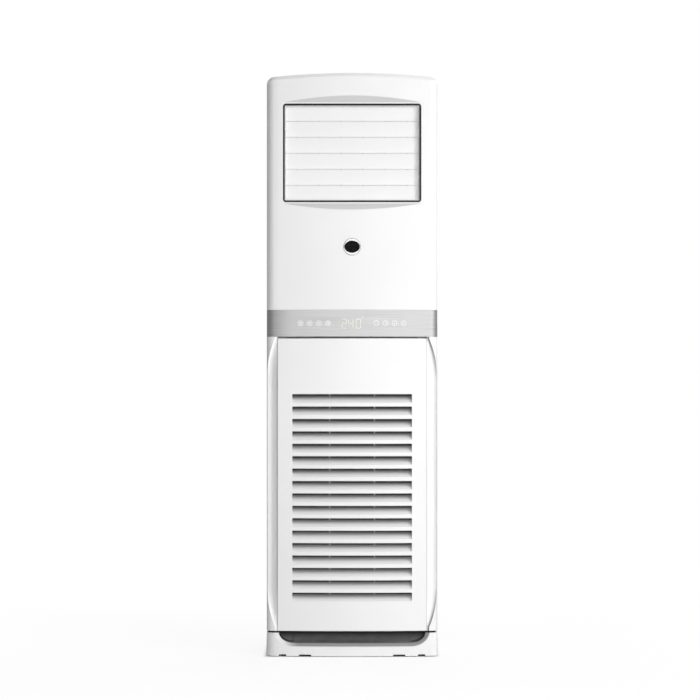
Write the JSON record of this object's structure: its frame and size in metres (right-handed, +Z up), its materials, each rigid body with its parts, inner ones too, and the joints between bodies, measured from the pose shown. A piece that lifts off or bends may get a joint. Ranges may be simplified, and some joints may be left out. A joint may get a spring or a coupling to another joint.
{
  "type": "floor-standing air conditioner",
  "caption": "Tall floor-standing room air conditioner with swinging outlet slats and vanes, touch band, louvred intake door, blower fan, coil and pipe stubs.",
  "frame": {"origin": "on the floor under the middle of the cabinet's bounding box", "axes": "+Z up, the front with the louvred door faces -Y, +X is to the right seen from the front"},
  "size_m": [0.54, 0.41, 1.8249],
  "materials": {
    "white_moulding": "satin white moulding",
    "slat_white": "satin white moulding",
    "light_grey_inlay": "satin grey inlay",
    "dark_badge": "gloss, bare",
    "black_rubber": "matt",
    "brushed_band": "brushed lengthwise",
    "white_steel": "powder coat, fine texture",
    "zinc_sheet": "galvanised",
    "dark_liner": "matt",
    "inner_moulding": "matt moulding",
    "dark_moulding": "matt moulding",
    "filter_net": "woven net in a moulded frame",
    "steel_shaft": "ground",
    "motor_can": "painted",
    "coil_fins": "close-set fins",
    "copper_tube": "drawn copper",
    "circuit_board": "lacquered board",
    "can_grey": "drawn can",
    "screw_zinc": "zinc plated"
  },
  "bodies": {
    "cabinet": {"upper_front_panel": "white_moulding", "outlet_frame": "white_moulding", "right_front_stile": "white_moulding", "left_front_stile": "white_moulding", "top_cover": "white_moulding", "base_skirt": "white_moulding", "outlet_accent_trims": "light_grey_inlay", "blank_badge": "dark_badge", "outlet_gasket": "black_rubber", "levelling_feet": "black_rubber", "control_band": "brushed_band", "left_side_panel": "white_steel", "right_side_panel": "white_steel", "rear_panel": "white_steel", "base_chassis": "zinc_sheet", "divider_plate": "zinc_sheet", "scroll_wrap": "zinc_sheet", "scroll_front_plate": "zinc_sheet", "scroll_back_plate": "zinc_sheet", "motor_bracket": "zinc_sheet", "control_box": "zinc_sheet", "control_box_cover": "zinc_sheet", "toe_recess_liner": "dark_liner", "air_duct": "inner_moulding", "intake_top_rail": "inner_moulding", "intake_bottom_rail": "inner_moulding", "door_catches": "inner_moulding", "drain_pan": "inner_moulding", "cable_gland": "dark_moulding", "terminal_block": "dark_moulding", "slat_motor": "dark_moulding", "vane_motor": "dark_moulding", "fan_motor": "motor_can", "evaporator_core": "coil_fins", "evaporator_end_plates": "coil_fins", "return_bends": "copper_tube", "gas_pipe": "copper_tube", "liquid_pipe": "copper_tube", "display_board": "circuit_board", "main_board": "circuit_board", "run_capacitor": "can_grey", "casing_screws": "screw_zinc"},
    "slat_1": {"slat_1": "slat_white"},
    "slat_2": {"slat_2": "slat_white"},
    "slat_3": {"slat_3": "slat_white"},
    "slat_4": {"slat_4": "slat_white"},
    "slat_5": {"slat_5": "slat_white"},
    "slat_6": {"slat_6": "slat_white"},
    "slat_link_rod": {"slat_link_rod": "inner_moulding"},
    "vane_1": {"vane_1": "dark_moulding"},
    "vane_2": {"vane_2": "dark_moulding"},
    "vane_3": {"vane_3": "dark_moulding"},
    "vane_4": {"vane_4": "dark_moulding"},
    "vane_5": {"vane_5": "dark_moulding"},
    "vane_6": {"vane_6": "dark_moulding"},
    "vane_link_rod": {"vane_link_rod": "inner_moulding"},
    "fan": {"fan_wheel": "dark_moulding", "motor_shaft": "steel_shaft"},
    "door": {"grille_door": "white_moulding"},
    "filter": {"intake_filter": "filter_net"}
  },
  "joints": [
    {"name": "slat_1_swing", "type": "hinge", "parent": "cabinet", "child": "slat_1", "pos_m": [0, -0.1809, 1.701], "axis": [-1, 0, 0], "range_deg": [0, 80]},
    {"name": "slat_2_swing", "type": "hinge", "parent": "cabinet", "child": "slat_2", "pos_m": [0, -0.1809, 1.6508], "axis": [-1, 0, 0], "range_deg": [0, 80]},
    {"name": "slat_3_swing", "type": "hinge", "parent": "cabinet", "child": "slat_3", "pos_m": [0, -0.1809, 1.6006], "axis": [-1, 0, 0], "range_deg": [0, 80]},
    {"name": "slat_4_swing", "type": "hinge", "parent": "cabinet", "child": "slat_4", "pos_m": [0, -0.1809, 1.5504], "axis": [-1, 0, 0], "range_deg": [0, 80]},
    {"name": "slat_5_swing", "type": "hinge", "parent": "cabinet", "child": "slat_5", "pos_m": [0, -0.1809, 1.5002], "axis": [-1, 0, 0], "range_deg": [0, 80]},
    {"name": "slat_6_swing", "type": "hinge", "parent": "cabinet", "child": "slat_6", "pos_m": [0, -0.1809, 1.45], "axis": [-1, 0, 0], "range_deg": [0, 80]},
    {"name": "slat_link_turn", "type": "hinge", "parent": "slat_1", "child": "slat_link_rod", "pos_m": [-0.2176, -0.1689, 1.701], "axis": [-1, 0, 0], "range_deg": [-80, 0]},
    {"name": "vane_1_swing", "type": "hinge", "parent": "cabinet", "child": "vane_1", "pos_m": [-0.17375, -0.1369, 1.5755], "axis": [0, 0, 1], "range_deg": [-35, 35]},
    {"name": "vane_2_swing", "type": "hinge", "parent": "cabinet", "child": "vane_2", "pos_m": [-0.10425, -0.1369, 1.5755], "axis": [0, 0, 1], "range_deg": [-35, 35]},
    {"name": "vane_3_swing", "type": "hinge", "parent": "cabinet", "child": "vane_3", "pos_m": [-0.03475, -0.1369, 1.5755], "axis": [0, 0, 1], "range_deg": [-35, 35]},
    {"name": "vane_4_swing", "type": "hinge", "parent": "cabinet", "child": "vane_4", "pos_m": [0.03475, -0.1369, 1.5755], "axis": [0, 0, 1], "range_deg": [-35, 35]},
    {"name": "vane_5_swing", "type": "hinge", "parent": "cabinet", "child": "vane_5", "pos_m": [0.10425, -0.1369, 1.5755], "axis": [0, 0, 1], "range_deg": [-35, 35]},
    {"name": "vane_6_swing", "type": "hinge", "parent": "cabinet", "child": "vane_6", "pos_m": [0.17375, -0.1369, 1.5755], "axis": [0, 0, 1], "range_deg": [-35, 35]},
    {"name": "vane_link_turn", "type": "hinge", "parent": "vane_4", "child": "vane_link_rod", "pos_m": [0.03475, -0.1069, 1.453], "axis": [0, 0, 1], "range_deg": [-35, 35]},
    {"name": "fan_spin", "type": "hinge", "parent": "cabinet", "child": "fan", "pos_m": [-0.03, 0.1, 0.43], "axis": [0, 1, 0], "continuous": true},
    {"name": "door_pull", "type": "slide", "parent": "cabinet", "child": "door", "axis": [0, -1, 0], "range_m": [0, 0.15]},
    {"name": "filter_lift", "type": "slide", "parent": "cabinet", "child": "filter", "axis": [0, 0, 1], "range_m": [0, 0.012]}
  ],
  "couplings": [
    {"joint": "slat_2_swing", "follows": "slat_1_swing", "ratio": 1},
    {"joint": "slat_3_swing", "follows": "slat_1_swing", "ratio": 1},
    {"joint": "slat_4_swing", "follows": "slat_1_swing", "ratio": 1},
    {"joint": "slat_5_swing", "follows": "slat_1_swing", "ratio": 1},
    {"joint": "slat_6_swing", "follows": "slat_1_swing", "ratio": 1},
    {"joint": "slat_link_turn", "follows": "slat_1_swing", "ratio": -1},
    {"joint": "vane_1_swing", "follows": "vane_4_swing", "ratio": 1},
    {"joint": "vane_2_swing", "follows": "vane_4_swing", "ratio": 1},
    {"joint": "vane_3_swing", "follows": "vane_4_swing", "ratio": 1},
    {"joint": "vane_5_swing", "follows": "vane_4_swing", "ratio": 1},
    {"joint": "vane_6_swing", "follows": "vane_4_swing", "ratio": 1},
    {"joint": "vane_link_turn", "follows": "vane_4_swing", "ratio": -1}
  ]
}
